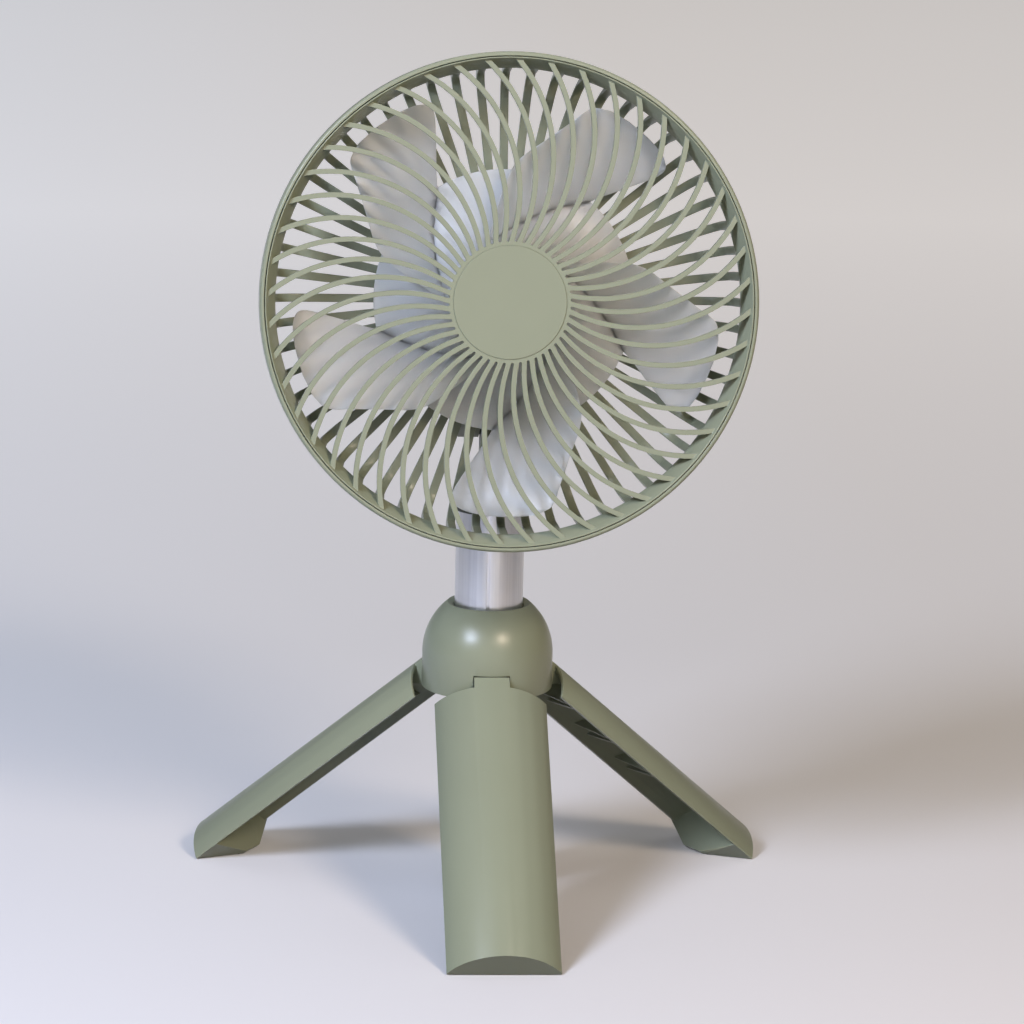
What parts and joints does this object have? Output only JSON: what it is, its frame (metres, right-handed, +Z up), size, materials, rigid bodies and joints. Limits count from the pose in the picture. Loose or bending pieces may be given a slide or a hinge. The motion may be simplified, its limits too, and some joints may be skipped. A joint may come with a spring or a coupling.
{
  "type": "portable camping fan",
  "caption": "Round caged camping fan with swirled front grille and swept blades, tilting on a telescopic aluminium mast over a folding tripod of hollow legs.",
  "frame": {"origin": "on the floor, at the centre of the standing fan's outline; the mast's axis stands 22.7 mm behind it", "axes": "+Z up along the mast, the fan blows towards -Y, +X is to the right of someone who faces the grille"},
  "size_m": [0.2166, 0.1938, 0.3276],
  "materials": {
    "sage_plastic": "satin",
    "button_plastic": "satin",
    "frosted_plastic": "frosted",
    "mast_aluminium": "satin anodised",
    "dark_plastic": "satin",
    "pad_rubber": "matte",
    "fastener_steel": "plated",
    "winding_copper": "enamelled",
    "cell_wrap": "gloss",
    "board_laminate": "satin",
    "lens_plastic": "gloss"
  },
  "bodies": {
    "base": {"lower_tube": "mast_aluminium", "tube_collar": "dark_plastic", "tube_end_plug": "dark_plastic", "dome_cover": "sage_plastic", "leg_hub": "dark_plastic", "leg_pins": "fastener_steel", "hub_screws": "fastener_steel"},
    "leg_front_body": {"leg_front": "sage_plastic", "foot_pad_front": "pad_rubber"},
    "leg_right_body": {"leg_right": "sage_plastic", "foot_pad_right": "pad_rubber"},
    "leg_left_body": {"leg_left": "sage_plastic", "foot_pad_left": "pad_rubber"},
    "mast_middle": {"middle_tube": "mast_aluminium", "middle_collar": "dark_plastic", "middle_glide": "dark_plastic"},
    "mast_upper": {"upper_tube": "mast_aluminium", "upper_glide": "dark_plastic", "tilt_tongue": "dark_plastic"},
    "fan_head": {"front_grille": "sage_plastic", "grille_cap": "sage_plastic", "rear_cage": "sage_plastic", "rear_housing": "sage_plastic", "housing_cover": "sage_plastic", "cover_screws": "fastener_steel", "control_board": "board_laminate", "charging_socket": "fastener_steel", "battery_cells": "cell_wrap", "indicator_lens": "lens_plastic", "tilt_screw": "fastener_steel", "tilt_nut": "fastener_steel", "tilt_washers": "dark_plastic", "motor_stator": "winding_copper", "motor_bearings": "fastener_steel"},
    "button": {"power_button": "button_plastic"},
    "fan": {"impeller": "frosted_plastic", "motor_rotor": "fastener_steel", "motor_shaft": "fastener_steel", "impeller_nut": "fastener_steel"}
  },
  "joints": [
    {"name": "leg_front_hinge", "type": "hinge", "parent": "base", "child": "leg_front_body", "pos_m": [0, 0.00453, 0.08575], "axis": [1, 0, 0], "range_deg": [0, 50.3]},
    {"name": "leg_right_hinge", "type": "hinge", "parent": "base", "child": "leg_right_body", "pos_m": [0.01576, 0.03183, 0.08575], "axis": [-0.5, 0.866, 0], "range_deg": [0, 50.3]},
    {"name": "leg_left_hinge", "type": "hinge", "parent": "base", "child": "leg_left_body", "pos_m": [-0.01576, 0.03183, 0.08575], "axis": [-0.5, -0.866, 0], "range_deg": [0, 50.3]},
    {"name": "mast_lower_slide", "type": "slide", "parent": "base", "child": "mast_middle", "axis": [0, 0, 1], "range_m": [0, 0.1]},
    {"name": "mast_upper_slide", "type": "slide", "parent": "mast_middle", "child": "mast_upper", "axis": [0, 0, 1], "range_m": [0, 0.1]},
    {"name": "head_tilt", "type": "hinge", "parent": "mast_upper", "child": "fan_head", "pos_m": [0, 0.02273, 0.1803], "axis": [-1, 0, 0], "range_deg": [-20, 80]},
    {"name": "fan_spin", "type": "hinge", "parent": "fan_head", "child": "fan", "pos_m": [0, -0.04696, 0.23892], "axis": [0, 0.9877, -0.1564], "continuous": true},
    {"name": "power_press", "type": "slide", "parent": "fan_head", "child": "button", "axis": [0, -0.9877, 0.1564], "range_m": [0, 0.0008], "stiffness_N_per_m": 500, "springref_m": -0.0006}
  ]
}
